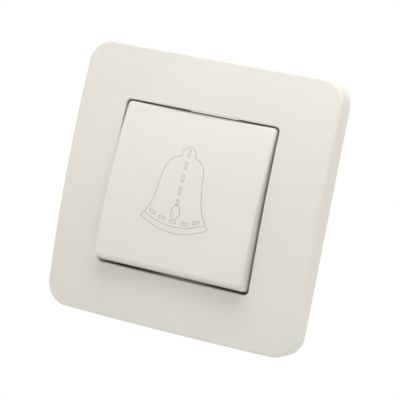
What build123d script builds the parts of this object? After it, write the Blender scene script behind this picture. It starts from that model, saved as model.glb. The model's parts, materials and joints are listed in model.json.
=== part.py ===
from build123d import *
import os
from math import cos, radians, sin, sqrt

os.makedirs("parts", exist_ok=True)

# Flush rocker bell push. Sizes are in millimetres, angles in degrees.
# Modelling frame: x right, y up, z out of the wall, with the wall's surface at z = 0.

# Cover frame
FRAME_SIZE = 82.0
FRAME_DEPTH = 9.9
FRAME_DOME_R = 300.0
FRAME_CORNER_R = 7.0
FRAME_EDGE_R = 0.75
FRAME_WALL = 2.0
FRAME_SKIN = 2.2
OPENING = 49.7
OPENING_CORNER_R = 1.5
OPENING_EDGE_R = 0.4
COLLAR_WALL = 1.4
COLLAR_GAP = 0.2
RIB_THICK = 1.2
RIB_HEIGHT = 2.4
RIB_OFFSET = 10.0

# Clip legs of the frame and the yoke's ears that hold them
CLIP_Y = 19.0
LEG_WIDTH = 7.0
LEG_THICK = 1.5
LEG_END_Z = 1.8
BARB_REACH = 0.6
EAR_WIDTH = 10.0
EAR_HEIGHT = 7.0
EAR_INSET = 1.0
EAR_RELIEF = 1.0
EAR_BEND_R = 0.9
WINDOW_Z = 3.0
WINDOW_HEIGHT = 2.0
WINDOW_SIDE = 1.9

# Rocker key, measured from its pivot
PIVOT_DEPTH = 3.4
PIVOT_LIFT = 0.15
KEY_EDGE_HEIGHT = 6.9
KEY_CROWN = 1.9
KEY_SKIN = 1.8
KEY_WALL = 1.6
KEY_CORNER_R = 1.3
KEY_EDGE_R = 1.1
REST_TILT = 6.2
PRESS_TRAVEL = 8.0
KEY_CLIP_WIDTH = 10.0
KEY_CLIP_THICK = 1.4
KEY_CLIP_BARB = 0.8
KEY_CLIP_TIP = 1.3
KEY_CLIP_LAND = 0.5
KEY_FLOOR_GAP = 0.6
PEG_R = 1.2
PEG_X = 10.0
PEG_SHORT = 0.3
PAD_X = 5.0
PAD_THICK = 1.4
PAD_LENGTH = 22.0

# Carrier under the key
CARRIER_LENGTH = 30.0
CARRIER_PLATE = 1.8
CARRIER_RISE = 1.0
CARRIER_CORNER_R = 2.0
TRUNNION_R = 1.5
LUG_R = 3.2
LUG_THICK = 2.0
NOSE_INSET = 6.2
NOSE_R = 1.2
NOSE_REACH = 1.6
NOSE_WIDTH = 5.0

# Yoke
YOKE_GAP = 3.5
YOKE_THICK = 1.0
YOKE_CHAMFER = 8.0
FIXING_PCD = 60.0
FIXING_HOLE_R = 2.1
FIXING_LAND = 1.9
SIGHT_WIDTH = 16.0
SIGHT_LAND = 1.7
TONGUE_WIDTH = 7.5

# Base housing
BASE_WIDTH = 38.0
BASE_HEIGHT = 40.0
BASE_DEPTH = 21.0
BASE_CHAMFER = 5.0
BASE_WALL = 1.8
BASE_FLOOR = 1.8
FLANGE_THICK = 1.5
FLANGE_REACH = 3.6
FLANGE_INNER = 4.5
FLANGE_OUTER = 3.0
BEARING_HALF = 4.0
STRIP_RIB_THICK = 1.6
STRIP_RIB_Y = -3.0
BARRIER_THICK = 1.6
BARRIER_START_Y = 3.0
BARRIER_TOP_Z = -1.0
SEAT_BOSS_R = 4.4
SEAT_RIM = 1.0
SEAT_POST_R = 1.6
SEAT_POST_HEIGHT = 4.0
LEDGE_WIDTH = 10.0
LEDGE_DEPTH = 1.4
LEDGE_HEIGHT = 2.0

# Contact cover and its screws
COVER_THICK = 1.5
STOP_X = 8.0
STOP_Y = 13.0
STOP_WIDTH = 3.0
STOP_THICK = 2.0
COVER_SCREW_INSET = 2.2
COVER_SCREW_Y = 9.0
COVER_SCREW_R = 1.0
COVER_SCREW_HEAD_R = 1.9
COVER_SCREW_HEAD = 1.3
COVER_SCREW_LENGTH = 6.0
COVER_SCREW_END = 0.5
COVER_BOSS_R = 2.2
COVER_BOSS_LENGTH = 8.0

# Plunger, bridge and return spring
HEAD_WIDTH = 8.0
HEAD_HEIGHT = 6.0
HEAD_CORNER_R = 1.2
PLUNGER_CHAMFER = 0.4
COLLAR_WIDTH = 11.0
COLLAR_HEIGHT = 8.4
COLLAR_THICK = 1.55
SPIGOT = 3.0
SPIGOT_LENGTH = 3.9
BRIDGE_END = 2.0
BRIDGE_WIDTH = 5.0
BRIDGE_THICK = 0.8
BRIDGE_CORNER_R = 2.2
SPRING_R = 2.75
SPRING_WIRE_R = 0.4
SPRING_TURNS = 5.0
SPRING_HEIGHT = 12.5

# Contacts and terminals
TERMINAL_INSET = 7.7
CONTACT_R = 1.7
CONTACT_HEIGHT = 0.9
CONTACT_EDGE_R = 0.35
CONTACT_SHANK_R = 0.85
CONTACT_HEAD_R = 1.3
CONTACT_HEAD = 0.35
STRIP_WIDTH = 5.0
STRIP_THICK = 1.0
STRIP_BEND_R = 1.6
STRIP_END = 2.5
TONGUE_INSET = 6.2
TONGUE_OVER = 0.5
CAGE_WIDTH = 8.0
CAGE_LENGTH = 6.5
CAGE_WALL = 1.0
CAGE_TOP_WALL = 1.2
CAGE_WIRE_SPACE = 4.0
CAGE_SCREW_SPACE = 2.6
CAGE_CORNER_R = 1.2
CAGE_FLOOR_GAP = 1.2
WIRE_ENTRY_R = 2.0
WIRE_ENTRY_FUNNEL = 0.5
WIRE_GUIDE_WALL = 1.2
WIRE_GUIDE_HEIGHT = 2.0
TERMINAL_SCREW_R = 1.75
TERMINAL_HEAD_R = 2.5
TERMINAL_HEAD = 2.0
TERMINAL_HEAD_GAP = 0.4
ACCESS_R = 2.7
SCREW_SLOT = 0.8
SCREW_SLOT_DEPTH = 0.9
SCREW_CHAMFER = 0.3

# Spreading claws
CLAW_SCREW_OUT = 3.5
CLAW_SCREW_R = 1.45
CLAW_SCREW_LENGTH = 16.0
CLAW_HEAD_R = 2.7
CLAW_HEAD = 1.8
CLAW_THICK = 1.0
CLAW_WIDTH = 8.0
CLAW_TOP_Z = -4.0
CLAW_END_Z = -17.0
CLAW_INNER = 2.9
CLAW_OUTER = 3.0
CLAW_BEND_R = 1.4
CLAW_TOOTH = 2.2

# Rivets of the yoke
RIVET_INSET = 4.0
RIVET_R = 1.3
RIVET_HEAD_R = 2.1
RIVET_HEAD = 0.8
RIVET_DOME_R = 0.55

# Fits
KEY_SIDE_GAP = 0.7
KEY_END_GAP = 0.35
PIVOT_GAP = 0.08
CARRIER_SIDE_GAP = 0.4
CARRIER_END_GAP = 0.2
CLIP_GAP = 0.3
SLIDE_GAP = 0.2
SEAT_GAP = 0.05
SCREW_GAP = 0.2
CLAW_SWING_GAP = 0.45
BASE_GAP = 0.2
PEG_GAP = 0.15

# How far a cutter runs past a face, a boss sinks into its wall, and what counts as touching
CUT = 1.0
SINK = 0.5
TOUCH = 0.01

# Values that follow from the sizes above
HALF_FRAME = FRAME_SIZE / 2
HALF_OPENING = OPENING / 2
DOME_Z = FRAME_DEPTH - sqrt(FRAME_DOME_R**2 - HALF_FRAME**2)
FRONT_Z = DOME_Z + FRAME_DOME_R
RIB_LOW_Z = FRAME_DEPTH - FRAME_SKIN - RIB_HEIGHT
PIVOT_Z = FRAME_DEPTH - PIVOT_DEPTH
SWEEP_R = HALF_OPENING - KEY_END_GAP
KEY_HALF = HALF_OPENING - KEY_SIDE_GAP
HALF_YOKE = HALF_FRAME - FRAME_WALL - YOKE_GAP
HALF_FIXING = FIXING_PCD / 2
SIGHT_REACH = HALF_FIXING - FIXING_HOLE_R - SIGHT_LAND
EAR_FACE = HALF_YOKE - EAR_INSET
HALF_BASE_X = BASE_WIDTH / 2
HALF_BASE_Y = BASE_HEIGHT / 2
INNER_X = HALF_BASE_X - BASE_WALL
INNER_Y = HALF_BASE_Y - BASE_WALL
INNER_CHAMFER = BASE_CHAMFER - BASE_WALL * (2 - sqrt(2))
FLOOR_Z = BASE_FLOOR - BASE_DEPTH
RIM_Z = YOKE_THICK + FLANGE_THICK
COVER_Z = RIM_Z - COVER_THICK
COLLAR_LOW_Z = RIM_Z + RIVET_HEAD + COLLAR_GAP
RIVET_X = HALF_BASE_X - RIVET_INSET
COVER_SCREW_X = INNER_X - COVER_SCREW_INSET
TERMINAL_X = INNER_X - TERMINAL_INSET
CLAW_SCREW_X = HALF_BASE_X + CLAW_SCREW_OUT
NOSE_Y = NOSE_INSET - INNER_Y
STRIP_START_Y = NOSE_Y - STRIP_END
TONGUE_Y = INNER_Y - TONGUE_INSET
BRIDGE_LENGTH = 2 * (TERMINAL_X + BRIDGE_END)
CARRIER_HALF = INNER_X - CARRIER_SIDE_GAP
CARRIER_TOP = CARRIER_RISE + CARRIER_PLATE
PRESSED_TILT = PRESS_TRAVEL - REST_TILT
KEY_LOW = RIM_Z + RIVET_HEAD + KEY_FLOOR_GAP + SWEEP_R * sin(radians(REST_TILT)) - PIVOT_Z
PLUNGER_TRAVEL = -NOSE_Y * (sin(radians(REST_TILT)) + sin(radians(PRESSED_TILT)))
NOSE_CENTRE = NOSE_REACH - NOSE_R
NOSE_REST_Z = PIVOT_Z - NOSE_Y * sin(radians(REST_TILT)) - NOSE_CENTRE * cos(radians(REST_TILT)) - NOSE_R
HEAD_TOP_Z = NOSE_REST_Z - SEAT_GAP
COLLAR_TOP_Z = COVER_Z - SEAT_GAP
BRIDGE_TOP_Z = COLLAR_TOP_Z - COLLAR_THICK
BRIDGE_BOTTOM_Z = BRIDGE_TOP_Z - BRIDGE_THICK
MOVING_TIP_Z = BRIDGE_BOTTOM_Z - CONTACT_HEIGHT
FIXED_TIP_Z = MOVING_TIP_Z - PLUNGER_TRAVEL - SEAT_GAP
STRIP_TOP_Z = FIXED_TIP_Z - CONTACT_HEIGHT
STRIP_BOTTOM_Z = STRIP_TOP_Z - STRIP_THICK
SPRING_TOP_Z = BRIDGE_BOTTOM_Z - SEAT_GAP
SPRING_SEAT_Z = SPRING_TOP_Z - SPRING_HEIGHT
CAGE_LOW_Y = TONGUE_Y - CAGE_WIRE_SPACE - CAGE_WALL
CAGE_HIGH_Y = TONGUE_Y + STRIP_THICK + CAGE_SCREW_SPACE + CAGE_TOP_WALL
GUIDE_TOP_Z = FLOOR_Z + WIRE_GUIDE_HEIGHT
CAGE_BOTTOM_Z = GUIDE_TOP_Z + CAGE_FLOOR_GAP
CAGE_MID_Z = CAGE_BOTTOM_Z + CAGE_LENGTH / 2
TONGUE_END_Z = CAGE_BOTTOM_Z - TONGUE_OVER
WIRE_Y = TONGUE_Y - CAGE_WIRE_SPACE / 2
TERMINAL_HEAD_Y = CAGE_HIGH_Y + TERMINAL_HEAD_GAP
FLANGE_Y = HALF_BASE_Y + FLANGE_REACH
RIVET_Y = HALF_BASE_Y + FLANGE_REACH / 2


def block(x0, x1, y0, y1, z0, z1):
    """Box between two corners."""
    return Pos((x0 + x1) / 2, (y0 + y1) / 2, (z0 + z1) / 2) * Box(x1 - x0, y1 - y0, z1 - z0)


def rod(x, y, z0, z1, radius):
    """Cylinder along z between two heights."""
    return Pos(x, y, (z0 + z1) / 2) * Cylinder(radius, z1 - z0)


def slab(outline, z0, z1):
    """Outline in the xy plane made into a slab between two heights."""
    return extrude(Pos(0, 0, z0) * outline, z1 - z0)


def side_prism(points, x0, x1):
    """Polygon of (y, z) points drawn out along x."""
    outline = make_face(Polyline(*[(0, y, z) for y, z in points], close=True))
    return Pos(x0, 0, 0) * extrude(outline, x1 - x0, dir=(1, 0, 0))


def octagon(width, height, corner):
    """Rectangle with its corners cut at 45 degrees."""
    outline = Rectangle(width, height)
    return chamfer(outline.vertices(), corner)


def key_envelope(half_width, end_radius, drop, low):
    """Solid key in its level position about the pivot, its face lowered by drop."""
    edge_z = KEY_EDGE_HEIGHT - drop
    edge_y = sqrt(end_radius**2 - edge_z**2)
    low_y = sqrt(end_radius**2 - low**2)
    mid_z = edge_z / 2
    mid_y = sqrt(end_radius**2 - mid_z**2)
    face = ThreePointArc((0, -edge_y, edge_z), (0, 0, edge_z + KEY_CROWN), (0, edge_y, edge_z))
    upper = ThreePointArc((0, edge_y, edge_z), (0, mid_y, mid_z), (0, low_y, low))
    foot = Line((0, low_y, low), (0, -low_y, low))
    lower = ThreePointArc((0, -low_y, low), (0, -mid_y, mid_z), (0, -edge_y, edge_z))
    outline = make_face(Curve() + [face, upper, foot, lower])
    return Pos(-half_width, 0, 0) * extrude(outline, 2 * half_width, dir=(1, 0, 0))


def at_rest(level):
    """Turn a level rocker piece to its rest tilt and put it on the pivot axis."""
    return Pos(0, PIVOT_LIFT, PIVOT_Z) * Rot(-REST_TILT, 0, 0) * level


def slotted_screw(head_r, head, shank_r, length, slot_depth):
    """Screw along z: head above z = 0, shank below, with a slot across the head."""
    screw = rod(0, 0, 0, head, head_r)
    screw = chamfer(screw.edges().group_by(Axis.Z)[-1], SCREW_CHAMFER)
    screw = screw + chamfer(rod(0, 0, -length, 0, shank_r).edges().group_by(Axis.Z)[0], SCREW_CHAMFER)
    return screw - block(-head_r, head_r, -SCREW_SLOT / 2, SCREW_SLOT / 2, head - slot_depth, head + CUT)


def dome(inset):
    """Ball through the frame's front, drawn in by an inset and turned so that its seam is at the back."""
    return Pos(0, 0, DOME_Z) * Rot(0, 90, 0) * Sphere(FRAME_DOME_R - inset)


def clip_leg():
    """Leg with a barb for the ear on the right, up to the frame's front."""
    face = EAR_FACE + CLIP_GAP
    low = WINDOW_Z + SLIDE_GAP
    high = WINDOW_Z + WINDOW_HEIGHT - SLIDE_GAP
    reach = EAR_FACE - BARB_REACH
    half = EAR_WIDTH / 2 - WINDOW_SIDE - SLIDE_GAP
    points = [(face, 0, low), (reach, 0, (low + high) / 2), (reach, 0, high), (face, 0, high)]
    barb = Pos(0, -half, 0) * extrude(make_face(Polyline(*points, close=True)), 2 * half, dir=(0, 1, 0))
    return block(face, face + LEG_THICK, -LEG_WIDTH / 2, LEG_WIDTH / 2, LEG_END_Z, FRONT_Z) + barb


def cover_frame():
    """Square frame with a domed front, a collar, ribs and four clip legs."""
    shell = slab(RectangleRounded(FRAME_SIZE, FRAME_SIZE, FRAME_CORNER_R), 0, FRONT_Z) & dome(0)
    front = shell.faces().filter_by(GeomType.SPHERE)[0]
    shell = fillet(front.outer_wire().edges(), FRAME_EDGE_R)
    inner = FRAME_SIZE - 2 * FRAME_WALL
    hollow = slab(RectangleRounded(inner, inner, FRAME_CORNER_R - FRAME_WALL), -CUT, FRONT_Z)
    shell = shell - (hollow & dome(FRAME_SKIN))
    outside = OPENING + 2 * COLLAR_WALL
    fill = slab(RectangleRounded(outside, outside, OPENING_CORNER_R + COLLAR_WALL), COLLAR_LOW_Z, FRONT_Z)
    half_rib = RIB_THICK / 2
    rib_end = HALF_FRAME - FRAME_WALL / 2
    rib = block(HALF_OPENING, rib_end, -half_rib, half_rib, RIB_LOW_Z, FRONT_Z)
    for turn in range(4):
        for offset in (-RIB_OFFSET, RIB_OFFSET):
            fill = fill + Rot(0, 0, 90 * turn) * Pos(0, offset, 0) * rib
    leg = clip_leg()
    for level in (-CLIP_Y, CLIP_Y):
        fill = fill + Pos(0, level, 0) * leg + Pos(0, level, 0) * Rot(0, 0, 180) * leg
    shell = shell + (fill & dome(FRAME_SKIN / 2))
    shell = shell - slab(RectangleRounded(OPENING, OPENING, OPENING_CORNER_R), 0, FRONT_Z + CUT)
    front = shell.faces().filter_by(GeomType.SPHERE).sort_by(Axis.Z)[-1]
    return fillet(front.inner_wires()[0].edges(), OPENING_EDGE_R)


def rocker_key():
    """Curved key with a hollow back, two clips, two pegs and two pads."""
    solid = key_envelope(KEY_HALF, SWEEP_R, 0, KEY_LOW)
    upright = solid.edges().filter_by(GeomType.CIRCLE).filter_by(
        lambda e: abs(abs(e.center().X) - KEY_HALF) < TOUCH and abs(e.center().Y) > SWEEP_R / 2
    )
    solid = fillet(upright, KEY_CORNER_R)
    rim = solid.edges().filter_by(lambda e: e.center().Z > KEY_EDGE_HEIGHT - KEY_EDGE_R)
    solid = fillet(rim, KEY_EDGE_R)
    key = solid - key_envelope(KEY_HALF - KEY_WALL, SWEEP_R - KEY_WALL, KEY_SKIN, KEY_LOW - CUT)
    half_pad = PAD_LENGTH / 2
    top = KEY_EDGE_HEIGHT + KEY_CROWN
    fill = Part()
    for side in (-1, 1):
        x = side * PAD_X
        fill = fill + block(x - PAD_THICK / 2, x + PAD_THICK / 2, -half_pad, half_pad, CARRIER_TOP, top)
        fill = fill + rod(side * PEG_X, 0, CARRIER_RISE + PEG_SHORT, top, PEG_R)
        y = side * (CARRIER_LENGTH / 2 + CARRIER_END_GAP)
        out = y + side * KEY_CLIP_THICK
        catch = y - side * (CARRIER_END_GAP + KEY_CLIP_BARB)
        low = CARRIER_RISE - SLIDE_GAP
        points = [(y, top), (y, low), (catch, low), (catch, low - KEY_CLIP_LAND), (y, low - KEY_CLIP_TIP)]
        points = points + [(out, low - KEY_CLIP_TIP), (out, top)]
        fill = fill + side_prism(points, -KEY_CLIP_WIDTH / 2, KEY_CLIP_WIDTH / 2)
    inside = key_envelope(KEY_HALF - KEY_WALL / 2, SWEEP_R - KEY_WALL / 2, KEY_SKIN / 2, -KEY_CLIP_TIP)
    return at_rest(key + (fill & inside))


def rocker_carrier():
    """Plate on two trunnions, with a nose that pushes the plunger."""
    plate = RectangleRounded(2 * CARRIER_HALF, CARRIER_LENGTH, CARRIER_CORNER_R)
    carrier = slab(plate, CARRIER_RISE, CARRIER_TOP)
    for side in (-1, 1):
        lug = Rectangle(2 * LUG_R, CARRIER_TOP, align=(Align.CENTER, Align.MIN)) + Circle(LUG_R)
        lug = extrude(Plane.YZ * lug, LUG_THICK)
        reach = HALF_BASE_X - SLIDE_GAP - CARRIER_HALF + SINK
        pin = Rot(0, 90, 0) * rod(0, 0, 0, reach, TRUNNION_R)
        arm = Pos(CARRIER_HALF - LUG_THICK, 0, 0) * lug + Pos(CARRIER_HALF - SINK, 0, 0) * pin
        carrier = carrier + (arm if side > 0 else Rot(0, 0, 180) * arm)
        carrier = carrier - rod(side * PEG_X, 0, 0, CARRIER_TOP + CUT, PEG_R + PEG_GAP)
    nose = Rectangle(2 * NOSE_R, NOSE_CENTRE + CARRIER_TOP, align=(Align.CENTER, Align.MIN)) + Circle(NOSE_R)
    nose = extrude(Plane.YZ * nose, NOSE_WIDTH)
    carrier = carrier + Pos(-NOSE_WIDTH / 2, NOSE_Y, -NOSE_CENTRE) * nose
    return at_rest(carrier)


def mounting_yoke():
    """Stamped plate with four bent ears."""
    fixings = ((HALF_FIXING, 0), (-HALF_FIXING, 0), (0, HALF_FIXING), (0, -HALF_FIXING))
    sheet = octagon(2 * HALF_YOKE, 2 * HALF_YOKE, YOKE_CHAMFER)
    for x, y in fixings:
        sheet = sheet + Pos(x, y) * Circle(FIXING_HOLE_R + FIXING_LAND)
    sheet = sheet - octagon(BASE_WIDTH + 2 * BASE_GAP, BASE_HEIGHT + 2 * BASE_GAP, BASE_CHAMFER)
    sheet = sheet - Rectangle(SIGHT_WIDTH, 2 * SIGHT_REACH)
    across = Rectangle(2 * SIGHT_REACH, SIGHT_WIDTH)
    tongue = Rectangle(2 * SIGHT_REACH, TONGUE_WIDTH) - Rectangle(BASE_WIDTH + 2 * BASE_GAP, TONGUE_WIDTH)
    sheet = sheet - (across - tongue)
    for x, y in fixings:
        sheet = sheet - Pos(x, y) * Circle(FIXING_HOLE_R)
    for side in (-1, 1):
        sheet = sheet - Pos(side * CLAW_SCREW_X, 0) * Circle(CLAW_SCREW_R + SCREW_GAP)
        for level in (-1, 1):
            sheet = sheet - Pos(side * RIVET_X, level * RIVET_Y) * Circle(RIVET_R + SEAT_GAP)
            slot = Rectangle(2 * (EAR_INSET + YOKE_THICK), EAR_WIDTH + 2 * EAR_RELIEF)
            sheet = sheet - Pos(side * HALF_YOKE, level * CLIP_Y) * slot
    yoke = slab(sheet, 0, YOKE_THICK)
    half = EAR_WIDTH / 2
    ear = block(EAR_FACE - YOKE_THICK, EAR_FACE, -half, half, 0, EAR_HEIGHT)
    bend = ear.edges().filter_by(Axis.Y).sort_by(lambda e: e.center().Z - e.center().X)[0]
    ear = fillet(bend, EAR_BEND_R)
    ear = ear + block(EAR_FACE - YOKE_THICK - SINK, EAR_FACE - YOKE_THICK, -half, half, 0, YOKE_THICK)
    gap = half - WINDOW_SIDE
    top = WINDOW_Z + WINDOW_HEIGHT
    ear = ear - block(EAR_FACE - 2 * YOKE_THICK, EAR_FACE + CUT, -gap, gap, WINDOW_Z, top)
    for level in (-CLIP_Y, CLIP_Y):
        yoke = yoke + Pos(0, level, 0) * ear + Pos(0, level, 0) * Rot(0, 0, 180) * ear
    return yoke


def base_housing():
    """Box with bearing ears, flange tabs and the seats of the inner pieces."""
    base = slab(octagon(BASE_WIDTH, BASE_HEIGHT, BASE_CHAMFER), -BASE_DEPTH, RIM_Z)
    wall_x = INNER_X + BASE_WALL / 2
    wall_y = INNER_Y + BASE_WALL / 2
    low = FLOOR_Z - SINK
    for side in (-1, 1):
        x0, x1 = sorted((side * (RIVET_X - FLANGE_INNER), side * (RIVET_X + FLANGE_OUTER)))
        for level in (-1, 1):
            y0, y1 = sorted((level * wall_y, level * FLANGE_Y))
            base = base + block(x0, x1, y0, y1, YOKE_THICK, RIM_Z)
    base = base - slab(octagon(2 * INNER_X, 2 * INNER_Y, INNER_CHAMFER), FLOOR_Z, RIM_Z + CUT)
    for side in (-1, 1):
        ear = Rectangle(2 * BEARING_HALF, PIVOT_Z - YOKE_THICK, align=(Align.CENTER, Align.MAX))
        ear = ear + Circle(BEARING_HALF) - Circle(TRUNNION_R + PIVOT_GAP)
        x0 = INNER_X if side > 0 else -HALF_BASE_X
        base = base + Pos(x0, PIVOT_LIFT, PIVOT_Z) * extrude(Plane.YZ * ear, BASE_WALL)
        x0, x1 = sorted((side * (TERMINAL_X - STRIP_WIDTH / 2), side * wall_x))
        half = STRIP_RIB_THICK / 2
        for y in (NOSE_Y, STRIP_RIB_Y):
            base = base + block(x0, x1, y - half, y + half, low, STRIP_BOTTOM_Z)
        x, y = side * COVER_SCREW_X, -side * COVER_SCREW_Y
        boss_z = COVER_Z - COVER_BOSS_LENGTH
        reach = wall_x - COVER_SCREW_X
        web = Pos(side * reach / 2, 0) * Rectangle(reach, 2 * COVER_BOSS_R)
        base = base + slab(Pos(x, y) * (Circle(COVER_BOSS_R) + web), boss_z, COVER_Z)
        y0, y1 = sorted((side * (INNER_Y - LEDGE_DEPTH), side * wall_y))
        base = base + block(-LEDGE_WIDTH / 2, LEDGE_WIDTH / 2, y0, y1, COVER_Z - LEDGE_HEIGHT, COVER_Z)
        base = base + rod(side * TERMINAL_X, WIRE_Y, low, GUIDE_TOP_Z, WIRE_ENTRY_R + WIRE_GUIDE_WALL)
    half = BARRIER_THICK / 2
    base = base + block(-half, half, BARRIER_START_Y, wall_y, low, BARRIER_TOP_Z)
    seat_top = SPRING_SEAT_Z + SEAT_RIM
    seat = rod(0, NOSE_Y, low, seat_top, SEAT_BOSS_R)
    seat = seat - rod(0, NOSE_Y, SPRING_SEAT_Z, seat_top + CUT, SPRING_R + SPRING_WIRE_R + CLIP_GAP)
    base = base + seat + rod(0, NOSE_Y, SPRING_SEAT_Z - SINK, SPRING_SEAT_Z + SEAT_POST_HEIGHT, SEAT_POST_R)
    for cutter in base_holes():
        base = base - cutter
    return base


def base_holes():
    """Cutters for the base's rivet, screw, wire and screwdriver holes."""
    cutters = []
    hole_z = COVER_Z - COVER_SCREW_LENGTH - COVER_SCREW_END
    for side in (-1, 1):
        for level in (-1, 1):
            cutters.append(rod(side * RIVET_X, level * RIVET_Y, 0, RIM_Z + CUT, RIVET_R + SEAT_GAP))
        x, y = side * COVER_SCREW_X, -side * COVER_SCREW_Y
        cutters.append(rod(x, y, hole_z, COVER_Z + CUT, COVER_SCREW_R + SEAT_GAP))
        entry = rod(0, 0, -BASE_DEPTH - CUT, GUIDE_TOP_Z + CUT, WIRE_ENTRY_R)
        funnel = Cone(WIRE_ENTRY_R + WIRE_ENTRY_FUNNEL, WIRE_ENTRY_R, WIRE_ENTRY_FUNNEL)
        entry = entry + Pos(0, 0, WIRE_ENTRY_FUNNEL / 2 - BASE_DEPTH) * funnel
        cutters.append(Pos(side * TERMINAL_X, WIRE_Y, 0) * entry)
        access = Rot(90, 0, 0) * Cylinder(ACCESS_R, 2 * BASE_WALL)
        cutters.append(Pos(side * TERMINAL_X, HALF_BASE_Y - BASE_WALL / 2, CAGE_MID_Z) * access)
    return cutters


def contact_cover():
    """Insulating plate with the plunger's guide and four stop posts."""
    outline = octagon(2 * (INNER_X - CLIP_GAP), 2 * (INNER_Y - CLIP_GAP), INNER_CHAMFER)
    outline = outline - Pos(0, NOSE_Y) * RectangleRounded(
        HEAD_WIDTH + 2 * SLIDE_GAP, HEAD_HEIGHT + 2 * SLIDE_GAP, HEAD_CORNER_R + SLIDE_GAP
    )
    for side in (-1, 1):
        hole = Circle(COVER_SCREW_R + SCREW_GAP)
        outline = outline - Pos(side * COVER_SCREW_X, -side * COVER_SCREW_Y) * hole
    cover = slab(outline, COVER_Z, RIM_Z)
    far = STOP_Y + STOP_THICK / 2
    rest, pressed = radians(REST_TILT), radians(PRESSED_TILT)
    rest_z = PIVOT_Z + CARRIER_RISE * cos(rest) - (far - PIVOT_LIFT) * sin(rest) - SEAT_GAP
    press_z = PIVOT_Z + CARRIER_RISE * cos(pressed) - (far + PIVOT_LIFT) * sin(pressed) - SEAT_GAP
    half = STOP_WIDTH / 2
    for side in (-1, 1):
        x = side * STOP_X
        cover = cover + block(x - half, x + half, STOP_Y - STOP_THICK / 2, far, COVER_Z, rest_z)
        cover = cover + block(x - half, x + half, -far, STOP_THICK / 2 - STOP_Y, COVER_Z, press_z)
    return cover


def contact_plunger():
    """Push piece: guided head, collar under the cover and square spigot."""
    head = slab(RectangleRounded(HEAD_WIDTH, HEAD_HEIGHT, HEAD_CORNER_R), BRIDGE_TOP_Z, HEAD_TOP_Z)
    head = chamfer(head.edges().group_by(Axis.Z)[-1], PLUNGER_CHAMFER)
    collar = slab(RectangleRounded(COLLAR_WIDTH, COLLAR_HEIGHT, HEAD_CORNER_R), BRIDGE_TOP_Z, COLLAR_TOP_Z)
    spigot = slab(Rectangle(SPIGOT, SPIGOT), BRIDGE_TOP_Z - SPIGOT_LENGTH, BRIDGE_TOP_Z)
    spigot = chamfer(spigot.edges().group_by(Axis.Z)[0], PLUNGER_CHAMFER)
    return Pos(0, NOSE_Y, 0) * (head + collar + spigot)


def contact_bridge():
    """Bar with rounded ends, a square hole and two rivet holes."""
    bar = RectangleRounded(BRIDGE_LENGTH, BRIDGE_WIDTH, BRIDGE_CORNER_R)
    bar = bar - Rectangle(SPIGOT + SLIDE_GAP, SPIGOT + SLIDE_GAP)
    for side in (-1, 1):
        bar = bar - Pos(side * TERMINAL_X, 0) * Circle(CONTACT_SHANK_R + SEAT_GAP)
    return Pos(0, NOSE_Y, 0) * slab(bar, BRIDGE_BOTTOM_Z, BRIDGE_TOP_Z)


def moving_contact(side):
    """Contact rivet in the bridge, facing the wall."""
    tip = rod(0, 0, MOVING_TIP_Z, BRIDGE_BOTTOM_Z, CONTACT_R)
    tip = fillet(tip.edges().group_by(Axis.Z)[0], CONTACT_EDGE_R)
    shank = rod(0, 0, BRIDGE_BOTTOM_Z, BRIDGE_TOP_Z, CONTACT_SHANK_R)
    head = rod(0, 0, BRIDGE_TOP_Z, BRIDGE_TOP_Z + CONTACT_HEAD, CONTACT_HEAD_R)
    return Pos(side * TERMINAL_X, NOSE_Y, 0) * (tip + shank + head)


def fixed_contact(side):
    """Contact rivet in a strip, facing out."""
    tip = rod(0, 0, STRIP_TOP_Z, FIXED_TIP_Z, CONTACT_R)
    tip = fillet(tip.edges().group_by(Axis.Z)[-1], CONTACT_EDGE_R)
    shank = rod(0, 0, STRIP_BOTTOM_Z, STRIP_TOP_Z, CONTACT_SHANK_R)
    return Pos(side * TERMINAL_X, NOSE_Y, 0) * (tip + shank)


def contact_strip(side):
    """Bent strip: a level arm under the contact and a tongue into the clamp."""
    tongue_top = TONGUE_Y + STRIP_THICK
    points = [(STRIP_START_Y, STRIP_TOP_Z), (tongue_top, STRIP_TOP_Z), (tongue_top, TONGUE_END_Z)]
    points = points + [(TONGUE_Y, TONGUE_END_Z), (TONGUE_Y, STRIP_BOTTOM_Z), (STRIP_START_Y, STRIP_BOTTOM_Z)]
    x0 = side * TERMINAL_X - STRIP_WIDTH / 2
    strip = side_prism(points, x0, x0 + STRIP_WIDTH)
    corner = Vector(side * TERMINAL_X, TONGUE_Y, STRIP_BOTTOM_Z)
    across = strip.edges().filter_by(Axis.X)
    strip = fillet(across.sort_by(lambda e: e.center().Y + e.center().Z)[-1], STRIP_BEND_R)
    across = strip.edges().filter_by(Axis.X)
    inner = across.sort_by(lambda e: (e.center() - corner).length)[0]
    strip = fillet(inner, STRIP_BEND_R - STRIP_THICK)
    hole = rod(0, NOSE_Y, STRIP_BOTTOM_Z - CUT, STRIP_TOP_Z + CUT, CONTACT_SHANK_R + SEAT_GAP)
    return strip - Pos(side * TERMINAL_X, 0, 0) * hole


def terminal_cage(side):
    """Clamp ring around the tongue and the wire."""
    height = CAGE_HIGH_Y - CAGE_LOW_Y
    ring = Pos(0, (CAGE_HIGH_Y + CAGE_LOW_Y) / 2) * RectangleRounded(CAGE_WIDTH, height, CAGE_CORNER_R)
    space = CAGE_HIGH_Y - CAGE_TOP_WALL - CAGE_LOW_Y - CAGE_WALL
    ring = ring - Pos(0, CAGE_LOW_Y + CAGE_WALL + space / 2) * Rectangle(CAGE_WIDTH - 2 * CAGE_WALL, space)
    cage = slab(ring, CAGE_BOTTOM_Z, CAGE_BOTTOM_Z + CAGE_LENGTH)
    hole = Cylinder(TERMINAL_SCREW_R + SEAT_GAP, 2 * CAGE_TOP_WALL)
    cage = cage - Pos(0, CAGE_HIGH_Y - CAGE_TOP_WALL / 2, CAGE_MID_Z) * Rot(90, 0, 0) * hole
    return Pos(side * TERMINAL_X, 0, 0) * cage


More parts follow.
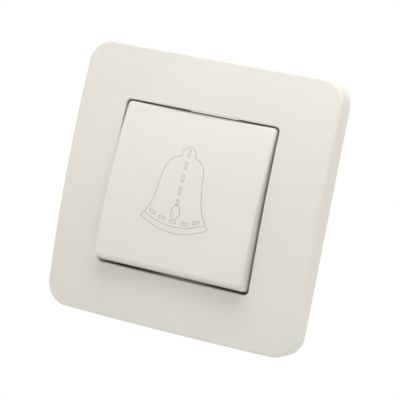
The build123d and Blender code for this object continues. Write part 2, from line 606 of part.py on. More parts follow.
def terminal_screws():
    """Two clamp screws, heads towards the top."""
    length = TERMINAL_HEAD_Y - TONGUE_Y - STRIP_THICK - SEAT_GAP
    screw = slotted_screw(TERMINAL_HEAD_R, TERMINAL_HEAD, TERMINAL_SCREW_R, length, SCREW_SLOT_DEPTH)
    screw = Rot(-90, 0, 0) * screw
    return [Pos(side * TERMINAL_X, TERMINAL_HEAD_Y, CAGE_MID_Z) * screw for side in (-1, 1)]


def cover_screws():
    """Two screws that hold the contact cover."""
    length = COVER_SCREW_LENGTH + COVER_THICK
    screw = slotted_screw(COVER_SCREW_HEAD_R, COVER_SCREW_HEAD, COVER_SCREW_R, length, SCREW_SLOT_DEPTH / 2)
    return [Pos(side * COVER_SCREW_X, -side * COVER_SCREW_Y, RIM_Z) * screw for side in (-1, 1)]


def yoke_rivets():
    """Four rivets, flush with the back of the yoke."""
    head = rod(0, 0, RIM_Z, RIM_Z + RIVET_HEAD, RIVET_HEAD_R)
    head = fillet(head.edges().group_by(Axis.Z)[-1], RIVET_DOME_R)
    rivet = head + rod(0, 0, 0, RIM_Z, RIVET_R)
    return [Pos(x * RIVET_X, y * RIVET_Y, 0) * rivet for x in (-1, 1) for y in (-1, 1)]


def claw(side):
    """Bent claw hung on its screw, with two teeth."""
    half = CLAW_WIDTH / 2
    inner, outer = CLAW_SCREW_X - CLAW_INNER, CLAW_SCREW_X + CLAW_OUTER
    piece = block(inner, outer, -half, half, CLAW_TOP_Z - CLAW_THICK, CLAW_TOP_Z)
    piece = piece + block(outer - CLAW_THICK, outer, -half, half, CLAW_END_Z, CLAW_TOP_Z)
    bend = piece.edges().filter_by(Axis.Y).sort_by(lambda e: e.center().X + e.center().Z)[-1]
    piece = fillet(bend, CLAW_BEND_R)
    hole_r = CLAW_SCREW_R + CLAW_SWING_GAP
    piece = piece - rod(CLAW_SCREW_X, 0, CLAW_TOP_Z - 2 * CLAW_THICK, CLAW_TOP_Z + CUT, hole_r)
    below = CLAW_END_Z - TOUCH
    notch = [(-CLAW_TOOTH, below), (CLAW_TOOTH, below), (0, CLAW_END_Z + CLAW_TOOTH)]
    piece = piece - side_prism(notch, inner, outer + CUT)
    return piece if side > 0 else Rot(0, 0, 180) * piece


def claw_screws():
    """Two long screws that draw the claws."""
    screw = slotted_screw(CLAW_HEAD_R, CLAW_HEAD, CLAW_SCREW_R, CLAW_SCREW_LENGTH, SCREW_SLOT_DEPTH)
    return [Pos(side * CLAW_SCREW_X, 0, YOKE_THICK) * screw for side in (-1, 1)]


def return_spring():
    """Coil spring between the seat and the bridge."""
    height = SPRING_HEIGHT - 2 * SPRING_WIRE_R - SEAT_GAP
    path = Helix(height / SPRING_TURNS, height, SPRING_R)
    wire = Plane(origin=path @ 0, z_dir=path % 0) * Circle(SPRING_WIRE_R)
    coil = sweep(wire, path=path, is_frenet=True)
    return Pos(0, NOSE_Y, SPRING_SEAT_Z + SPRING_WIRE_R + SEAT_GAP / 2) * coil


pieces = {
    "cover_frame": cover_frame(),
    "rocker_key": rocker_key(),
    "rocker_carrier": rocker_carrier(),
    "mounting_yoke": mounting_yoke(),
    "yoke_rivets": yoke_rivets(),
    "base_housing": base_housing(),
    "contact_cover": contact_cover(),
    "cover_screws": cover_screws(),
    "contact_plunger": contact_plunger(),
    "contact_bridge": contact_bridge(),
    "return_spring": return_spring(),
    "terminal_screws": terminal_screws(),
    "claw_screws": claw_screws(),
}
for name, side in (("left", -1), ("right", 1)):
    pieces["moving_contact_" + name] = moving_contact(side)
    pieces["fixed_contact_" + name] = fixed_contact(side)
    pieces["contact_strip_" + name] = contact_strip(side)
    pieces["terminal_cage_" + name] = terminal_cage(side)
    pieces["claw_" + name] = claw(side)

# Stand the part up: the front faces -Y and +Z is up, with the wall's surface at y = 0
upright = Rot(90, 0, 0)
for name, piece in pieces.items():
    group = piece if isinstance(piece, list) else [piece]
    solids = [upright * solid for member in group for solid in member.solids()]
    export_step(solids[0] if len(solids) == 1 else Compound(children=solids), f"parts/{name}.step")
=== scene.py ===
"""Flush rocker bell push: finishes, printed sign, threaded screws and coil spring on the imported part."""
import json
import math

import bmesh
import bpy
import numpy as np
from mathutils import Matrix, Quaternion, Vector


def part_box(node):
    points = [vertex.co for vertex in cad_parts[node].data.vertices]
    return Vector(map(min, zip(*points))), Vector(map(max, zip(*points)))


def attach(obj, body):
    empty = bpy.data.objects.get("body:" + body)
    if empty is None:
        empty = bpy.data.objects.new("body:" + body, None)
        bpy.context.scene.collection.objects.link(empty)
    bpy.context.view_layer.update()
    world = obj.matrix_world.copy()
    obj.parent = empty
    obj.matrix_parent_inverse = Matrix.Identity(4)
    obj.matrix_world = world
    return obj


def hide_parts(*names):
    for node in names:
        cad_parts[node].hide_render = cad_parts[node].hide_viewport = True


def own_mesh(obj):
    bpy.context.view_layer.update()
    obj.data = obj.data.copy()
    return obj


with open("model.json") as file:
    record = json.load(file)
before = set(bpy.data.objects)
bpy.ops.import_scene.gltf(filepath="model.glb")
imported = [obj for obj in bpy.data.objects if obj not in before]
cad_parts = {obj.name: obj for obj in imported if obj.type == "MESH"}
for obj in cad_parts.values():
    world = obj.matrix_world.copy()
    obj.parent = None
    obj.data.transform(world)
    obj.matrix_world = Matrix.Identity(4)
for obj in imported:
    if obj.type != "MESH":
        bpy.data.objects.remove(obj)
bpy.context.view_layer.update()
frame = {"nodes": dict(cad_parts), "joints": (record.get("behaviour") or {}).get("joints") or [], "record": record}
nodes = frame["nodes"]
joints = {joint["name"]: joint for joint in frame["joints"]}

MM = 0.001
FRONTWARD = (0, -1, 0)
WALLWARD = (0, 1, 0)
UPWARD = (0, 0, 1)

# Camera, aimed at the front plane: distances in metres, angles in degrees, lens in millimetres
CAMERA_AIM = (4.51 * MM, -10.5 * MM, -0.47 * MM)
CAMERA_DISTANCE = 494.7 * MM
CAMERA_AZIMUTH = 22.57
CAMERA_ELEVATION = 3.30
CAMERA_ROLL = 10.87
CAMERA_LENS = 151.5
CAMERA_NEAR = 0.01
CAMERA_FAR = 50.0

# Lamp: a large soft box above and in front, in metres and watts
LAMP_AT = (0.05, -0.24, 0.38)
LAMP_WIDTH = 0.35
LAMP_DEPTH = 0.25
LAMP_WATTS = 1.27

# Room: strength of its light from in front, from beside and a little behind the part, and straight behind
FRONT_FILL = 0.60
RING_FILL = 2.2
BACK_FILL = 0.05
# Part of a direction that points to the back, where that ring is full, where it ends and the back begins
RING_FULL = 0.35
RING_END = 0.40
BACK_BEGIN = 0.75

# Floor: height, half width, and the distances between which its shadow gives way to plain white
FLOOR_Z = -0.45
FLOOR_HALF = 3.0
FLOOR_NEAR = 0.12
FLOOR_FAR = 0.30
PAPER_WHITE = "F4F4F2"
PAPER_ROUGH = 0.9

# Noise levels between which a tone goes from its first colour to its second
TONE_SPAN = (0.3, 0.7)

# Patterns: grains are (size in millimetres, detail) for tone, sheen and relief; depths are in millimetres
ABS_GRAINS = ((26.0, 2.0), (4.0, 3.0), (1.6, 3.0))
ABS_RIPPLE = 0.004
ABS_IOR = 1.53
POLYAMIDE_GRAINS = ((9.0, 3.0), (2.5, 2.0))
POLYAMIDE_ROUGH = (0.45, 0.60)
POLYAMIDE_IOR = 1.53
MOULD_DETAIL = 4.0
INK_TONES = ("9C9C92", "C2C2B8")
INK_GRAINS = ((1.6, 3.0), (0.5, 2.0))
INK_ROUGH = (0.50, 0.65)
INK_IOR = 1.48
CLOUD_DETAIL = 3.0
LINE_DETAIL = 2.0
LINE_SHARE = 0.5
LINE_DEPTH = 0.003

# Meshes: distance within which points are one, angles in degrees past which an edge is crisp
MERGE_WITHIN = 1e-7
CRISP_ANGLE = 35.0
WIRE_CRISP_ANGLE = 80.0

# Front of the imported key: least part of a normal that points to the front, most that points aside
FACING_FRONT = 0.95
FACING_ASIDE = 0.02

# Printed bell sign: millimetres across and up from the middle of the key's face, angles in degrees
INK_LINE = 0.21
INK_PROUD = 0.015
INK_SUNK = 0.010
BELL_X = -0.25
KNOB_R = 2.07
KNOB_Y = 11.15
KNOB_START = 90.0
KNOB_END = -20.0
BELL_LEFT = (
    (-4.25, 9.5), (-5.75, 7.8), (-6.7, 5.2), (-7.2, 2.0), (-7.5, -1.9), (-8.15, -4.9), (-9.75, -7.85)
)
BELL_RIGHT = (
    (4.05, 9.55), (5.45, 7.9), (6.1, 5.4), (6.4, 2.8), (7.1, -1.0), (8.0, -4.4), (9.95, -8.2)
)
LIP_LEFT = (-10.75, -9.15)
LIP_RIGHT = (11.1, -9.5)
LIP_LOW = -12.45
LIP_HIGH = -10.63
DASH_LENGTH = 2.15
DASH_WIDTH = 0.7
DASH_ROUND = 0.14
ROPE_TOP = 11.4
ROPE_STEP = 3.77
ROPE_DASHES = 4
ROPE_LEAN = 90.0
ROPE_TAIL_Y = -3.35
ROPE_TAIL_LENGTH = 1.5
CLAPPER_Y = -6.35
CLAPPER_HALF = (1.35, 2.15)
# Dashes above the lip: across, up, and lean in degrees
RIM_DASHES = (
    (-7.2, -7.45, -23), (-3.9, -8.6, -11), (-0.3, -9.25, 2), (3.5, -9.15, 11), (7.1, -8.05, 27)
)
SMOOTH_STEPS = 10
KNOB_POINTS = 14
LIP_POINTS = 41
CORNER_POINTS = 6
CLAPPER_POINTS = 40

# Screws: sizes in metres, thread depth as a share of the pitch
CLAW_SCREW = {"head": 1.8 * MM, "slot_depth": 0.9 * MM, "shank_r": 1.45 * MM, "pitch": 0.6 * MM}
COVER_SCREW = {"head": 1.3 * MM, "slot_depth": 0.45 * MM, "shank_r": 1.0 * MM, "pitch": 0.4 * MM}
CLAMP_SCREW = {"head": 2.0 * MM, "slot_depth": 0.9 * MM, "shank_r": 1.75 * MM, "pitch": 0.6 * MM}
SLOT_WIDTH = 0.8 * MM
HEAD_CHAMFER = 0.3 * MM
PLAIN_NECK = 0.6 * MM
THREAD_DEPTH = 0.54
THREAD_STEPS = 9
SCREW_SIDES = 9

# Return spring: wire radius in metres
SPRING_WIRE_R = 0.4 * MM
SPRING_TURNS = 5.0
SPRING_STEPS = 48
WIRE_SIDES = 14
CAP_STEPS = 5


def linear(hex_code):
    """sRGB hex colour as linear RGBA."""
    srgb = np.array([int(hex_code[i:i + 2], 16) for i in (0, 2, 4)]) / 255
    low = srgb / 12.92
    high = ((srgb + 0.055) / 1.055) ** 2.4
    return (*np.where(srgb <= 0.04045, low, high).tolist(), 1.0)


def per_mm(size):
    """Texture scale that gives a feature of this many millimetres on metre coordinates."""
    return 1.0 / (size * MM)


def add(tree, kind, settings=None, links=None):
    """Add one node: settings fill its properties or input sockets, links join sockets to its inputs."""
    node = tree.nodes.new(kind)
    for key, value in (settings or {}).items():
        if isinstance(key, str) and hasattr(node, key):
            setattr(node, key, value)
        else:
            node.inputs[key].default_value = value
    for key, socket in (links or {}).items():
        tree.links.new(socket, node.inputs[key])
    return node


def new_material(name):
    """Node material with a Principled surface; returns material, tree, shader and object coordinates."""
    material = bpy.data.materials.new(name)
    material.use_nodes = True
    tree = material.node_tree
    tree.nodes.clear()
    shader = add(tree, "ShaderNodeBsdfPrincipled")
    add(tree, "ShaderNodeOutputMaterial", links={"Surface": shader.outputs[0]})
    place = add(tree, "ShaderNodeTexCoord").outputs["Object"]
    return material, tree, shader, place


def uneven_surface(tree, shader, tones, roughness, tone, sheen, relief=None, depth=0.0):
    """Join noise factors to a shader: the colour drifts between two close tones, the roughness between two
    values, and the relief, where there is one, has a depth in millimetres."""
    steep = {"From Min": TONE_SPAN[0], "From Max": TONE_SPAN[1]}
    drift = add(tree, "ShaderNodeMapRange", steep, {"Value": tone})
    colours = {"data_type": "RGBA", 6: linear(tones[0]), 7: linear(tones[1])}
    mix = add(tree, "ShaderNodeMix", colours, {0: drift.outputs[0]})
    tree.links.new(mix.outputs[2], shader.inputs["Base Color"])
    span = {"To Min": roughness[0], "To Max": roughness[1]}
    gloss = add(tree, "ShaderNodeMapRange", span, {"Value": sheen})
    tree.links.new(gloss.outputs[0], shader.inputs["Roughness"])
    if relief is not None:
        waves = add(tree, "ShaderNodeBump", {"Strength": 1.0, "Distance": depth * MM}, {"Height": relief})
        tree.links.new(waves.outputs[0], shader.inputs["Normal"])


def uneven_plastic(name, tones, roughness, grains, depth, ior):
    """Plastic or ink with one noise for each grain: the first drives the tone, the second the sheen and a
    third, where there is one, the relief."""
    material, tree, shader, place = new_material(name)
    factors = []
    for size, detail in grains:
        settings = {"Scale": per_mm(size), "Detail": detail}
        factors.append(add(tree, "ShaderNodeTexNoise", settings, {"Vector": place}).outputs[0])
    uneven_surface(tree, shader, tones, roughness, *factors, depth=depth)
    shader.inputs["IOR"].default_value = ior
    return material


def cream_abs(name, tones, roughness):
    """Moulded ABS from a smooth mould: even cream, a soft sheen, a faint ripple from cooling."""
    return uneven_plastic(name, tones, roughness, ABS_GRAINS, ABS_RIPPLE, ABS_IOR)


def moulded_polyamide(name, tones, grain, depth):
    """Polyamide from an eroded mould: dull, slightly uneven in tone, with a grain drawn as coarse as it
    needs to be to show."""
    grains = (*POLYAMIDE_GRAINS, (grain, MOULD_DETAIL))
    return uneven_plastic(name, tones, POLYAMIDE_ROUGH, grains, depth, POLYAMIDE_IOR)


def printed_ink(name):
    """Pad-printed ink: matt warm grey, a little uneven where the pad left less."""
    return uneven_plastic(name, INK_TONES, INK_ROUGH, INK_GRAINS, 0.0, INK_IOR)


def plain_metal(name, tones, roughness, cloud, line, stretch):
    """Bare or plated metal: the tone is clouds mixed with rolling or drawing lines, which also vary the
    gloss. The lines run along the axis where stretch is small, and are as coarse as they need to be to
    show."""
    material, tree, shader, place = new_material(name)
    settings = {"Scale": per_mm(cloud), "Detail": CLOUD_DETAIL}
    clouds = add(tree, "ShaderNodeTexNoise", settings, {"Vector": place}).outputs[0]
    drawn = add(tree, "ShaderNodeMapping", {"Scale": stretch}, {"Vector": place}).outputs[0]
    settings = {"Scale": per_mm(line), "Detail": LINE_DETAIL}
    lines = add(tree, "ShaderNodeTexNoise", settings, {"Vector": drawn}).outputs[0]
    tone = add(tree, "ShaderNodeMix", {"data_type": "FLOAT", 0: LINE_SHARE}, {2: clouds, 3: lines})
    uneven_surface(tree, shader, tones, roughness, tone.outputs[0], lines, lines, LINE_DEPTH)
    shader.inputs["Metallic"].default_value = 1.0
    return material


# Finishes of the record's slots
FINISHES = {
    # Cream ABS: the frame is satin, the key has a soft gloss
    "cream_frame": cream_abs("moulded_abs_cream_frame", ("E1DFD5", "DEDCD2"), (0.52, 0.62)),
    "cream_key": cream_abs("moulded_abs_cream_key", ("E1DFD5", "DFDDD3"), (0.32, 0.40)),
    # Polyamide: ivory and nearly smooth inside, grey with a plain grain on the base
    "inner_plastic": moulded_polyamide(
        "moulded_polyamide_natural", ("DAD7C8", "D0CDBE"), grain=0.4, depth=0.006
    ),
    "base_plastic": moulded_polyamide(
        "moulded_polyamide_grey", ("BEBDB7", "B6B5AF"), grain=0.9, depth=0.020
    ),
    # Zinc plating: bluish white, cloudy, with lines along x
    "zinc_steel": plain_metal(
        "zinc_plated_steel", ("C8CCD0", "A6AEB6"), (0.26, 0.44), cloud=5.0, line=0.6, stretch=(0.06, 1, 1)
    ),
    # Rolled brass: warm yellow, with lines along y
    "brass": plain_metal(
        "rolled_brass", ("C8A45E", "B8924A"), (0.24, 0.38), cloud=4.0, line=0.3, stretch=(1, 0.06, 1)
    ),
    # Pressed silver alloy: pale and bright, specks in place of lines
    "contact_silver": plain_metal(
        "silver_alloy", ("DEDCD4", "CFCDC6"), (0.20, 0.32), cloud=2.0, line=0.25, stretch=(1, 1, 1)
    ),
    # Spring wire: dark grey, specks in place of lines because it winds round
    "spring_steel": plain_metal(
        "drawn_spring_wire", ("9A9DA2", "868A90"), (0.26, 0.40), cloud=2.0, line=0.2, stretch=(1, 1, 1)
    ),
}
# Yellow passivation on the yoke's zinc: straw tones in wide clouds, with lines along x
YOKE_FINISH = plain_metal(
    "yellow_passivated_zinc", ("D3C596", "B0A684"), (0.24, 0.40), cloud=12.0, line=1.1, stretch=(0.05, 1, 1)
)
INK = printed_ink("printed_ink_warm_grey")


def dress_nodes():
    """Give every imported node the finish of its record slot, and the yoke its own."""
    for part in frame["record"]["subparts"]:
        finish = FINISHES[part["material_slot"]]
        if part["node"] == "mounting_yoke":
            finish = YOKE_FINISH
        materials = nodes[part["node"]].data.materials
        materials.clear()
        materials.append(finish)


def grid_faces(rows, columns, wrap_rows, wrap_columns):
    """Quads of a grid of rows by columns, joined end to end in the directions that wrap."""
    i, j = np.meshgrid(
        np.arange(rows if wrap_rows else rows - 1),
        np.arange(columns if wrap_columns else columns - 1),
        indexing="ij",
    )
    next_i, next_j = (i + 1) % rows, (j + 1) % columns
    corners = (i * columns + j, i * columns + next_j, next_i * columns + next_j, next_i * columns + j)
    return np.stack(corners, -1).reshape(-1, 4)


def make_piece(name, grids, material, crisp=CRISP_ANGLE):
    """Closed mesh from (points, faces) grids: doubles are merged, slivers removed, normals turned outwards
    and edges kept crisp."""
    offsets = np.cumsum([0] + [len(points) for points, _ in grids])
    points = np.concatenate([points for points, _ in grids])
    faces = np.concatenate([faces + offset for (_, faces), offset in zip(grids, offsets)])
    mesh = bpy.data.meshes.new(name)
    mesh.from_pydata(points.tolist(), [], faces.tolist())
    work = bmesh.new()
    work.from_mesh(mesh)
    bmesh.ops.remove_doubles(work, verts=work.verts, dist=MERGE_WITHIN)
    bmesh.ops.dissolve_degenerate(work, edges=work.edges, dist=MERGE_WITHIN)
    bmesh.ops.recalc_face_normals(work, faces=work.faces)
    work.to_mesh(mesh)
    work.free()
    mesh.shade_smooth()
    mesh.set_sharp_from_angle(angle=math.radians(crisp))
    mesh.materials.append(material)
    piece = bpy.data.objects.new(name, mesh)
    bpy.context.scene.collection.objects.link(piece)
    return piece


def node_points(node):
    """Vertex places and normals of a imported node, as arrays."""
    mesh = nodes[node].data
    points = np.empty(len(mesh.vertices) * 3, np.float32)
    normals = np.empty(len(mesh.vertices) * 3, np.float32)
    mesh.vertices.foreach_get("co", points)
    mesh.vertices.foreach_get("normal", normals)
    return points.reshape(-1, 3).astype(float), normals.reshape(-1, 3).astype(float)


def key_face():
    """The key's face is an arc drawn out along x: fit its centre and radius in the yz plane to the front
    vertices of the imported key, then take the directions out of and up the face from the rocker's axis."""
    points, normals = node_points("rocker_key")
    proud = points[:, 1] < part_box("cover_frame")[0].y
    front = proud & (normals[:, 1] < -FACING_FRONT) & (np.abs(normals[:, 0]) < FACING_ASIDE)
    y, z = points[front, 1], points[front, 2]
    terms = np.column_stack([2 * y, 2 * z, np.ones_like(y)])
    (y0, z0, rest), *_ = np.linalg.lstsq(terms, y * y + z * z, rcond=None)
    centre = np.array([y0, z0])
    radius = math.sqrt(rest + centre @ centre)
    pivot = np.array(joints["rocker_press"]["pos_m"][1:])
    out = (pivot - centre) / np.linalg.norm(pivot - centre)
    up = np.array([out[1], -out[0]])
    return centre, radius, out, up


FACE_CENTRE, FACE_RADIUS, FACE_OUT, FACE_UP = key_face()


def on_key(across, height, proud):
    """Place on the key's arc: across is along x, height is the arc's length up the face, proud is out of
    it."""
    angle = height * MM / FACE_RADIUS
    away = np.cos(angle)[:, None] * FACE_OUT + np.sin(angle)[:, None] * FACE_UP
    yz = FACE_CENTRE + (FACE_RADIUS + proud * MM) * away
    return np.column_stack([across * MM, yz])


def smooth_line(points):
    """Catmull-Rom curve through the points: on each span a cubic whose slopes follow the neighbours."""
    run = np.vstack([2 * points[0] - points[1], points, 2 * points[-1] - points[-2]])
    before, start, end, after = run[:-3], run[1:-2], run[2:-1], run[3:]
    share = np.linspace(0, 1, SMOOTH_STEPS, endpoint=False)[:, None, None]
    slope = (end - before) / 2
    square = (2 * before - 5 * start + 4 * end - after) / 2
    cube = (3 * start - before - 3 * end + after) / 2
    curve = start + share * slope + share**2 * square + share**3 * cube
    return np.vstack([curve.transpose(1, 0, 2).reshape(-1, 2), points[-1]])


def lip_line(left, low, right):
    """Parabola through the left end, the height low on the middle line and the right end."""
    bend = np.polyfit((left[0], 0, right[0]), (left[1], low, right[1]), 2)
    x = np.linspace(left[0], right[0], LIP_POINTS)
    return np.column_stack([x, np.polyval(bend, x)])


def bell_outline():
    """Closed line down the right of the bell, along the low edge of its lip and up the left: each side is
    an arc round the knob and a smooth curve."""
    turn = np.radians(np.linspace(KNOB_START, KNOB_END, KNOB_POINTS))
    halves = []
    for sign, side in ((1, BELL_RIGHT), (-1, BELL_LEFT)):
        knob = np.column_stack([sign * KNOB_R * np.cos(turn), KNOB_Y + KNOB_R * np.sin(turn)])
        halves.append(np.vstack([knob[:-1], smooth_line(np.vstack([knob[-1], side]))]))
    right, left = halves
    lip = lip_line(LIP_LEFT, LIP_LOW, LIP_RIGHT)
    return np.vstack([right, lip[::-1], left[:0:-1]])


def dash_loop(length, across, height, lean):
    """Rectangle with round corners: four quarter circles, turned by the lean and put at a centre."""
    count = 4 * CORNER_POINTS
    angle = (np.arange(count) + 0.5) * 2 * math.pi / count
    x = np.sign(np.cos(angle)) * (length / 2 - DASH_ROUND) + DASH_ROUND * np.cos(angle)
    y = np.sign(np.sin(angle)) * (DASH_WIDTH / 2 - DASH_ROUND) + DASH_ROUND * np.sin(angle)
    c, s = math.cos(math.radians(lean)), math.sin(math.radians(lean))
    return np.column_stack([across + c * x - s * y, height + s * x + c * y])


def clapper_loop():
    """Oval: an ellipse from its two half widths."""
    turn = np.linspace(0, 2 * math.pi, CLAPPER_POINTS, endpoint=False)
    return np.column_stack([CLAPPER_HALF[0] * np.cos(turn), CLAPPER_Y + CLAPPER_HALF[1] * np.sin(turn)])


def ink_stroke(line, closed):
    """Flat ribbon along a line on the key: a four-cornered section of the ink's width and thickness is
    carried along it, across its running direction; an open ribbon gets a face at each end."""
    if closed:
        along = np.roll(line, -1, 0) - np.roll(line, 1, 0)
    else:
        along = np.gradient(line, axis=0)
    along = along / np.linalg.norm(along, axis=1, keepdims=True)
    side = np.column_stack([-along[:, 1], along[:, 0]]) * INK_LINE / 2
    left, right = line + side, line - side
    rails = ((left, -INK_SUNK), (left, INK_PROUD), (right, INK_PROUD), (right, -INK_SUNK))
    points = np.stack([on_key(rail[:, 0] + BELL_X, rail[:, 1], proud) for rail, proud in rails], 1)
    faces = grid_faces(len(line), len(rails), closed, True)
    if not closed:
        first = np.arange(len(rails))
        faces = np.vstack([faces, first, first + len(rails) * (len(line) - 1)])
    return points.reshape(-1, 3), faces


def bell_sign():
    """Bell drawn in thin lines: its outline, the high edge of the lip, a dashed rope, an oval clapper and a
    row of dashes above the lip."""
    loops = [bell_outline()]
    for step in range(ROPE_DASHES):
        loops.append(dash_loop(DASH_LENGTH, 0, ROPE_TOP - step * ROPE_STEP, ROPE_LEAN))
    loops.append(dash_loop(ROPE_TAIL_LENGTH, 0, ROPE_TAIL_Y, ROPE_LEAN))
    loops.append(clapper_loop())
    for across, height, lean in RIM_DASHES:
        loops.append(dash_loop(DASH_LENGTH, across, height, lean))
    strokes = [ink_stroke(loop, True) for loop in loops]
    strokes.append(ink_stroke(lip_line(BELL_LEFT[-1], LIP_HIGH, BELL_RIGHT[-1]), False))
    piece = make_piece("bell_sign", strokes, INK)
    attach(piece, "rocker")


def slotted_top(top_r, head, slot_depth):
    """Top of a screw head as a height field on chords that run with the slot: the chords of both flanks lie
    at the head's height, and the three over the slot lie lower by its depth."""
    edge = math.asin(SLOT_WIDTH / 2 / top_r)
    flank = top_r * np.sin(np.linspace(edge, math.pi / 2, SCREW_SIDES))
    floor = np.array([-SLOT_WIDTH / 2, 0, SLOT_WIDTH / 2])
    chord = np.concatenate([-flank[::-1], floor, flank])
    level = np.full(len(chord), head)
    level[len(flank):len(flank) + len(floor)] -= slot_depth
    half = np.sqrt(np.maximum(top_r**2 - chord**2, 0))
    share = np.linspace(-1, 1, SCREW_SIDES)
    return np.stack(np.broadcast_arrays(chord[:, None], half[:, None] * share, level[:, None]), -1)


def threaded_body(rim, top_r, head_r, head, shank_r, length, pitch):
    """Rings from the rim of the top down to the tip. On the thread the radius is the core's plus half the
    thread's depth times one plus the cosine of the helix's phase, and it fades to the core at the tip."""
    aim = rim[:, :2] / top_r
    even = np.ones(len(rim))
    depth = THREAD_DEPTH * pitch
    core_r = shank_r - depth
    z = np.arange(-PLAIN_NECK, -length + depth, -pitch / THREAD_STEPS)
    phase = np.arctan2(aim[:, 1], aim[:, 0]) / (2 * math.pi)
    helix = np.cos(2 * math.pi * (z[:, None] / pitch + phase))
    fade = np.clip((z + length) / pitch, 0, 1)[:, None]
    thread_r = core_r + fade * depth / 2 * (1 + helix)
    neck_r = np.outer((top_r, head_r, head_r, shank_r, shank_r), even)
    radii = np.vstack([neck_r, thread_r, np.outer((core_r, 0), even)])
    shoulder = np.minimum(rim[:, 2], head - HEAD_CHAMFER)
    below = np.outer((0, 0, -PLAIN_NECK / 2, *z, -length, -length), even)
    heights = np.vstack([rim[:, 2], shoulder, below])
    return np.dstack([aim[:, 0] * radii, aim[:, 1] * radii, heights])


def one_screw(base, out, across, head_r, head, slot_depth, shank_r, length, pitch):
    """Slotted screw with a rolled thread, turned from its own axes to across, along the slot and out."""
    top_r = head_r - HEAD_CHAMFER
    top = slotted_top(top_r, head, slot_depth)
    rim = np.concatenate([top[:, -1], top[::-1, 0]])
    body = threaded_body(rim, top_r, head_r, head, shank_r, length, pitch)
    basis = np.stack([across, np.cross(across, out), out])
    grids = []
    for points, wrap in ((top, False), (body, True)):
        rows, columns = points.shape[:2]
        grids.append((points.reshape(-1, 3) @ basis + base, grid_faces(rows, columns, False, wrap)))
    return grids


def screw_pair(name, node, out, across, head, slot_depth, shank_r, pitch):
    """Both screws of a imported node, each found by its side of the middle plane and made a threaded one."""
    points, _ = node_points(node)
    out, across = np.array(out, float), np.array(across, float)
    grids = []
    for side in (-1, 1):
        part = points[points[:, 0] * side > 0]
        middle = (part.min(0) + part.max(0)) / 2
        reach = part @ out
        head_r = (part @ across).max() - middle @ across
        base = middle + out * (reach.max() - head - middle @ out)
        length = reach.max() - head - reach.min()
        grids += one_screw(base, out, across, head_r, head, slot_depth, shank_r, length, pitch)
    piece = make_piece(name, grids, FINISHES["zinc_steel"])
    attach(piece, "base")
    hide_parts(node)


def spring_wire(low, high):
    """Round wire on a helix that fills a box: rings stand square to the path, and at each end they shrink
    along a half sphere."""
    middle = (low + high) / 2
    coil_r = (high[0] - low[0]) / 2 - SPRING_WIRE_R
    turn = np.linspace(0, 2 * math.pi * SPRING_TURNS, int(SPRING_TURNS * SPRING_STEPS) + 1)
    climb = (high[1] - low[1] - 2 * SPRING_WIRE_R) / turn[-1]
    cap = np.linspace(math.pi / 2, 0, CAP_STEPS, endpoint=False)
    turn = np.concatenate([np.full(CAP_STEPS, turn[0]), turn, np.full(CAP_STEPS, turn[-1])])
    shift = np.zeros(len(turn))
    shift[:CAP_STEPS] = -np.sin(cap)
    shift[-CAP_STEPS:] = np.sin(cap[::-1])
    radius = SPRING_WIRE_R * np.sqrt(1 - shift**2)
    radial = np.column_stack([np.cos(turn), np.zeros_like(turn), np.sin(turn)])
    along = np.column_stack([-coil_r * np.sin(turn), np.full_like(turn, -climb), coil_r * np.cos(turn)])
    along = along / np.linalg.norm(along, axis=1, keepdims=True)
    path = radial * coil_r + along * (shift * SPRING_WIRE_R)[:, None]
    path[:, 1] += high[1] - SPRING_WIRE_R - climb * turn
    path[:, [0, 2]] += middle[[0, 2]]
    around = np.linspace(0, 2 * math.pi, WIRE_SIDES, endpoint=False)[:, None]
    ring = np.cos(around) * radial[:, None] + np.sin(around) * np.cross(along, radial)[:, None]
    points = path[:, None] + ring * radius[:, None, None]
    return points.reshape(-1, 3), grid_faces(len(turn), WIRE_SIDES, False, True)


def coil_spring():
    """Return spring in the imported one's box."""
    low, high = (np.array(corner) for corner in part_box("return_spring"))
    piece = make_piece("coil_spring", [spring_wire(low, high)], FINISHES["spring_steel"], WIRE_CRISP_ANGLE)
    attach(piece, "base")
    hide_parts("return_spring")
    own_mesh(piece)


def white_to_eye(tree):
    """One where a camera, glossy or transmission ray looks, else nothing."""
    ray = add(tree, "ShaderNodeLightPath").outputs
    links = {0: ray["Is Camera Ray"], 1: ray["Is Glossy Ray"]}
    first = add(tree, "ShaderNodeMath", {"operation": "MAXIMUM"}, links)
    links = {0: first.outputs[0], 1: ray["Is Transmission Ray"]}
    return add(tree, "ShaderNodeMath", {"operation": "MAXIMUM"}, links).outputs[0]


def white_room():
    """World that looks white, and lights the part by how far a direction points to the back: evenly from
    in front, most from a ring beside and a little behind the part, and hardly from straight behind it."""
    world = bpy.data.worlds.new("white_room")
    bpy.context.scene.world = world
    world.use_nodes = True
    tree = world.node_tree
    tree.nodes.clear()
    place = add(tree, "ShaderNodeTexCoord").outputs["Generated"]
    back = add(tree, "ShaderNodeSeparateXYZ", links={0: place}).outputs["Y"]
    soft = {"interpolation_type": "SMOOTHSTEP"}
    rise = soft | {"From Max": RING_FULL, "To Min": FRONT_FILL, "To Max": RING_FILL}
    ring = add(tree, "ShaderNodeMapRange", rise, {"Value": back}).outputs[0]
    fall = soft | {"From Min": RING_END, "From Max": BACK_BEGIN, "To Max": BACK_FILL}
    room = add(tree, "ShaderNodeMapRange", fall, {"Value": back, "To Min": ring}).outputs[0]
    links = {"Value": white_to_eye(tree), "To Min": room}
    strength = add(tree, "ShaderNodeMapRange", {"To Max": 1.0}, links).outputs[0]
    light = add(tree, "ShaderNodeBackground", {"Color": (1, 1, 1, 1)}, {"Strength": strength})
    add(tree, "ShaderNodeOutputWorld", links={"Surface": light.outputs[0]})


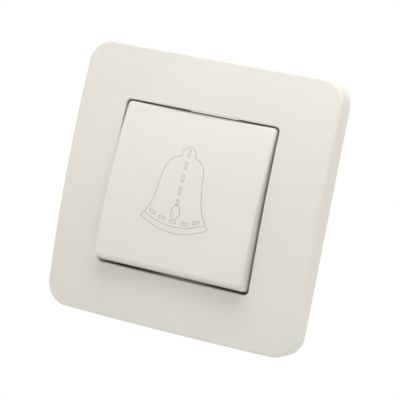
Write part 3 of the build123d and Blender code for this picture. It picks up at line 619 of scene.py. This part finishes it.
def studio_paper():
    """Matt white paper: it keeps the shadow near the part, and looks plain white far off."""
    paper, tree, shader, place = new_material("studio_paper_white")
    shader.inputs["Base Color"].default_value = linear(PAPER_WHITE)
    shader.inputs["Roughness"].default_value = PAPER_ROUGH
    flat = add(tree, "ShaderNodeMapping", {"Scale": (1, 1, 0)}, {"Vector": place})
    away = add(tree, "ShaderNodeVectorMath", {"operation": "LENGTH"}, {0: flat.outputs[0]})
    fade = {"interpolation_type": "SMOOTHSTEP", "From Min": FLOOR_NEAR, "From Max": FLOOR_FAR}
    far = add(tree, "ShaderNodeMapRange", fade, {"Value": away.outputs["Value"]})
    links = {0: far.outputs[0], 1: white_to_eye(tree)}
    seen = add(tree, "ShaderNodeMath", {"operation": "MULTIPLY"}, links)
    glow = add(tree, "ShaderNodeEmission", {"Color": (1, 1, 1, 1), "Strength": 1.0})
    links = {0: seen.outputs[0], 1: shader.outputs[0], 2: glow.outputs[0]}
    mix = add(tree, "ShaderNodeMixShader", links=links)
    tree.links.new(mix.outputs[0], tree.get_output_node("ALL").inputs["Surface"])
    return paper


def studio_floor():
    """Wide square of paper well below the part."""
    corners = [(x * FLOOR_HALF, y * FLOOR_HALF, FLOOR_Z) for x, y in ((-1, -1), (1, -1), (1, 1), (-1, 1))]
    mesh = bpy.data.meshes.new("studio_floor")
    mesh.from_pydata(corners, [], [(0, 1, 2, 3)])
    mesh.materials.append(studio_paper())
    floor = bpy.data.objects.new("studio_floor", mesh)
    bpy.context.scene.collection.objects.link(floor)


def soft_box():
    """Rectangular lamp that looks at the origin."""
    lamp = bpy.data.lights.new("soft_box", "AREA")
    lamp.shape = "RECTANGLE"
    lamp.size = LAMP_WIDTH
    lamp.size_y = LAMP_DEPTH
    lamp.energy = LAMP_WATTS
    holder = bpy.data.objects.new("soft_box", lamp)
    holder.location = LAMP_AT
    holder.rotation_mode = "QUATERNION"
    holder.rotation_quaternion = (-Vector(LAMP_AT)).to_track_quat("-Z", "Y")
    bpy.context.scene.collection.objects.link(holder)


def photo_camera():
    """Camera on the photo's line of sight, rolled as the photo is."""
    azimuth, elevation = math.radians(CAMERA_AZIMUTH), math.radians(CAMERA_ELEVATION)
    level = math.cos(elevation)
    back = Vector((math.sin(azimuth) * level, -math.cos(azimuth) * level, math.sin(elevation)))
    lens = bpy.data.cameras.new("photo_camera")
    lens.lens = CAMERA_LENS
    lens.clip_start = CAMERA_NEAR
    lens.clip_end = CAMERA_FAR
    camera = bpy.data.objects.new("photo_camera", lens)
    camera.location = Vector(CAMERA_AIM) + back * CAMERA_DISTANCE
    camera.rotation_mode = "QUATERNION"
    roll = Quaternion((0, 0, 1), math.radians(CAMERA_ROLL))
    camera.rotation_quaternion = (-back).to_track_quat("-Z", "Y") @ roll
    bpy.context.scene.collection.objects.link(camera)
    bpy.context.scene.camera = camera


dress_nodes()
bell_sign()
screw_pair("claw_screw_pair", "claw_screws", FRONTWARD, UPWARD, **CLAW_SCREW)
screw_pair("cover_screw_pair", "cover_screws", FRONTWARD, UPWARD, **COVER_SCREW)
screw_pair("clamp_screw_pair", "terminal_screws", UPWARD, WALLWARD, **CLAMP_SCREW)
coil_spring()
white_room()
studio_floor()
soft_box()
photo_camera()
bpy.context.scene.view_settings.view_transform = "Standard"
